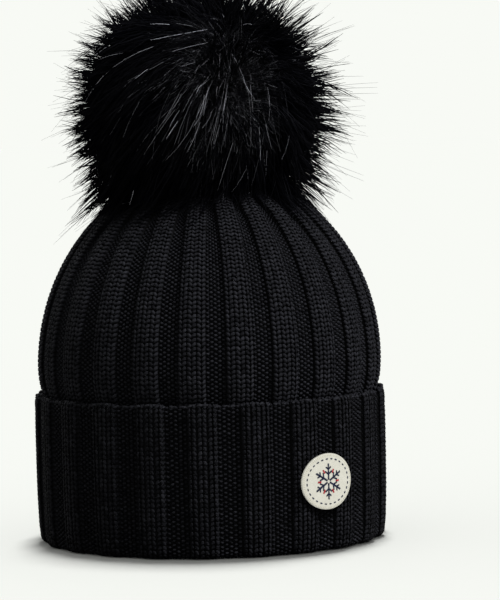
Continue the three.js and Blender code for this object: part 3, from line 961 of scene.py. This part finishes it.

# Fine fibres lie in the topcoat where the pile shines, from the whorl down over the front. Their grey is
# painted
# sheen: dim on most of them, and a painted highlight on the few that are bright.
DULL, BRIGHT, RARITY = 0.018, 0.85, 10
lines, draw = fur_lines(7000, seed=25, tips=(0, 8), gather=0.1, steps=HAIR_STEPS[::3], about=SHINE, lying=0.4)
# glint is each fibre's painted highlight, bright on a rare few and changing along each fibre.
glint = draw.uniform(0, 1, (len(lines), 1)) ** RARITY
glint = DULL + BRIGHT * glint * draw.uniform(0.1, 1, lines.shape[:2])
sheen_fibres = grow_hairs("pompom_painted_sheen_fibres", lines, draw, glint, root=0.055, tip=0.035)

# Undyed guard hairs: bristles that lie loose on the coat. Their grey tone is partly the undyed hair and
# partly a painted glint. Some are strewn over the shining front and follow the pile there. The rest lie
# singly all round, at all angles.
STREWN, SINGLE = 120, 180
STREWN_SHIFT = (-0.08, 0, -0.03)
STREWN_SPREAD = 0.25
TIP_LIFT = 4.0


def by_kind(strewn, single):
    """One value for each strewn bristle, and another for each single one."""
    return np.r_[np.full(STREWN, strewn), np.full(SINGLE, single)]


draw = np.random.default_rng(24)
strewn = unit(SHINE + STREWN_SHIFT + draw.normal(0, STREWN_SPREAD, (STREWN, 3)))
root_way = np.concatenate([strewn, spread_directions(SINGLE, -0.75)])
count = len(root_way)
astray = draw.normal(0, 1, (count, 3)) * by_kind(0.18, 0.4)[:, None]
flow = unit(root_way * (root_way @ WHORL)[:, None] - WHORL + FALL + astray)
bristle_length = draw.uniform(5, by_kind(30, 20))
lift = draw.uniform(-1, 3, count)
bend = draw.normal(0, 0.1, (count, 3))
lines = np.stack([
    BALL_CENTRE + unit(root_way + (flow + bend * step) * (bristle_length / DENSE_RADIUS * step)[:, None])
    * (fur_reach(root_way) + lift + TIP_LIFT * step)[:, None]
    for step in HAIR_STEPS
], axis=1)
# Each bristle's grey: partly undyed hair, partly painted glint.
grey_and_glint = 0.03 + draw.uniform(0, 1, (count, 1)) ** by_kind(3, 5)[:, None]
lines = clear_of_dome(lines, gap=1.5)
bristles = grow_hairs("pompom_grey_and_glinting_bristles", lines, draw, grey_and_glint, root=0.04 + 0.03 * grey_and_glint, tip=0.025)

for piece in (pompom_backing, underfur, topcoat, guard_hairs, sheen_fibres, bristles):
    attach(piece, "root")
    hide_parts("pompom")


# The patch is a small oval of thick cream felt, bent round the cuff and sewn down on its ribs to the right of
# the front. Its embroidery is a snowflake in navy and red cotton, inside a ring of running stitches.
PATCH_TURN = math.radians(39.2)
PATCH_MIDDLE = 34.4
PATCH_HALF = np.array([15.5, 13.5])
FELT_BACK = 88.1
FELT_FACE = 89.7
FELT_EDGE = 0.5
FELT_SIDES = 72


def on_patch(place, radius):
    """Places on the patch, from mm across and up from its middle, at a radius from the cap's axis."""
    angle = PATCH_TURN + place[..., 0] / FELT_FACE
    height = PATCH_MIDDLE + place[..., 1]
    return np.stack([radius * np.sin(angle), -radius * np.cos(angle), height], axis=-1)


def oval(inset, columns):
    """Places round the patch, at a distance in from its edge."""
    return (PATCH_HALF - inset) * circle(columns)


# Thick wool felt: cream, matt and slightly mottled, with a nap of fine tangled fibres about 0.3 mm apart.
felt, tree = new_material("cream wool felt")
surface = add_node(tree, "ShaderNodeTexCoord").outputs["Object"]
mottle = add_node(tree, "ShaderNodeTexNoise", {"Scale": 350.0, "Detail": 4.0}, {"Vector": surface})
nap = add_node(tree, "ShaderNodeTexNoise", {"Scale": 3200.0, "Detail": 3.0, "Distortion": 1.5}, {
    "Vector": surface,
})
felt_shades = {"data_type": "RGBA", 6: linear("#cfccc1"), 7: linear("#e2dfd6")}
felt_colour = add_node(tree, "ShaderNodeMix", felt_shades, {0: mottle.outputs["Fac"]})
felt_bump = add_node(tree, "ShaderNodeBump", {"Strength": 0.5, "Distance": 0.0002}, {
    "Height": nap.outputs["Fac"],
})
felt_shader = add_node(
    tree, "ShaderNodeBsdfPrincipled",
    {"Roughness": 0.95, "IOR": 1.5, "Specular IOR Level": 0.2},
    {"Base Color": felt_colour.outputs[2], "Normal": felt_bump.outputs[0]},
)
add_node(tree, "ShaderNodeOutputMaterial", links={"Surface": felt_shader.outputs[0]})

# Mercerised embroidery cotton, and cream sewing thread close to the felt in colour.
navy_cotton = spun_thread("navy embroidery cotton", "#141a33", "#232c4d", 0.25)
red_cotton = spun_thread("red embroidery cotton", "#a3202f", "#c8323f", 0.25)
cream_thread = spun_thread("cream sewing thread", "#c9c2ae", "#e2dcca", 0.25)

# The felt's section, from the middle of its back over its rounded edge to the middle of its face.
felt_sections = [
    *[(inset, FELT_BACK) for inset in (11, 8, 4)],
    *rounded((0, FELT_BACK), (1, 0), (0, 1), FELT_EDGE),
    *rounded((0, FELT_FACE), (0, -1), (1, 0), FELT_EDGE),
    *[(inset, FELT_FACE) for inset in (1.2, 2, 4, 6, 8, 11)],
]
felt_rings = np.array([on_patch(oval(inset, FELT_SIDES), radius) for inset, radius in felt_sections])
back_middle, face_middle = on_patch(np.zeros(2), FELT_BACK), on_patch(np.zeros(2), FELT_FACE)
patch_felt = new_piece(ringed_mesh("patch_felt", back_middle, felt_rings, face_middle), felt)

# Satin stitches make the snowflake: navy arms with two pairs of forks each, and red strokes between them. A
# fork has its distance from the middle and its length.
SATIN_PITCH, SATIN_START, SATIN_SLANT = 0.34, 0.1, 0.15
SATIN = {"width": 0.42, "lift": 0.06}
ARM_START, ARM_END, ARM_WIDTH = 0.9, 8.6, 1.15
FORKS, FORK_TURN, FORK_WIDTH = ((3.4, 2.6), (5.8, 2.1)), 52, 0.95
RED_START, RED_END, RED_WIDTH = 4.6, 6.6, 1.1


def sewn(starts, ends, width, lift):
    """Stitches on the patch's face between two lists of places on it."""
    first, last = on_patch(starts, FELT_FACE), on_patch(ends, FELT_FACE)
    place = on_patch((starts + ends) / 2, FELT_FACE + lift)
    length = np.linalg.norm(last - first, axis=1)
    thick = np.full_like(length, width)
    fit = np.stack([thick, thick, length], axis=-1)
    tone = random.uniform(0, 1, len(length))
    return place, last - first, place * (1, 1, 0), fit, tone


def satin(first, last, width):
    """Start and end places of the satin stitches, side by side and a little slanted, that cover a line."""
    length = np.linalg.norm(last - first)
    way = (last - first) / length
    side = np.array([-way[1], way[0]]) * width / 2 + way * SATIN_SLANT
    middles = first + way * np.arange(SATIN_START, length, SATIN_PITCH)[:, None]
    return middles - side, middles + side


def polar_place(distance, degrees):
    """A place on the patch by distance from its middle and angle from upright."""
    return np.array([distance * math.sin(math.radians(degrees)), distance * math.cos(math.radians(degrees))])


navy_lines, red_lines = [], []
for arm in range(0, 360, 60):
    navy_lines.append(satin(polar_place(ARM_START, arm), polar_place(ARM_END, arm), ARM_WIDTH))
    for distance, length in FORKS:
        for side in (-1, 1):
            root = polar_place(distance, arm)
            navy_lines.append(satin(root, root + polar_place(length, arm + side * FORK_TURN), FORK_WIDTH))
    red_lines.append(satin(polar_place(RED_START, arm + 30), polar_place(RED_END, arm + 30), RED_WIDTH))
navy_stitches = [sewn(*line, **SATIN) for line in navy_lines]

# Each running stitch of the ring covers three fifths of its share, and 90 short ones sew the edge down.
RING_STITCHES, RING_INSET = 28, 2.6
EDGE_STITCHES, EDGE_INSETS = 90, (0.35, 1.5)
ring_ends = oval(RING_INSET, 5 * RING_STITCHES)
navy_stitches.append(sewn(ring_ends[0::5], ring_ends[3::5], width=0.75, lift=0.05))
patch_navy = lay_stitches("patch_navy_embroidery", navy_stitches, navy_cotton, 5)
red_stitches = [sewn(*line, **SATIN) for line in red_lines]
patch_red = lay_stitches("patch_red_embroidery", red_stitches, red_cotton, 6)
edge_ends = [oval(inset, EDGE_STITCHES) for inset in EDGE_INSETS]
patch_edge = lay_stitches("patch_edge_stitches", [sewn(*edge_ends, width=0.3, lift=0.0)], cream_thread, 7)
patch_pieces = [patch_felt, patch_navy, patch_red, patch_edge]
for piece in patch_pieces:
    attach(piece, "root")
    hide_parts("patch")


# The key lamp stands to the upper right of the front and lights the black pieces, with a second one behind
# their left. A weaker one in the key lamp's place lights the pale patch, which would burn out otherwise.
cool_white = (0.96, 0.98, 1.0)
black_pieces = [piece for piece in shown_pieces() if piece not in patch_pieces]
white = (1.0, 1.0, 1.0)
key_lamp = soft_lamp("key lamp", 12.5, spread=28, colour=cool_white, turned=67, tipped=38)
back_lamp = soft_lamp("back lamp", 3.0, spread=40, colour=cool_white, turned=-150, tipped=50)
patch_lamp = soft_lamp("patch lamp", 0.8, spread=28, colour=white, turned=67, tipped=38)
lights_only(key_lamp, black_pieces)
lights_only(back_lamp, black_pieces)
lights_only(patch_lamp, patch_pieces)
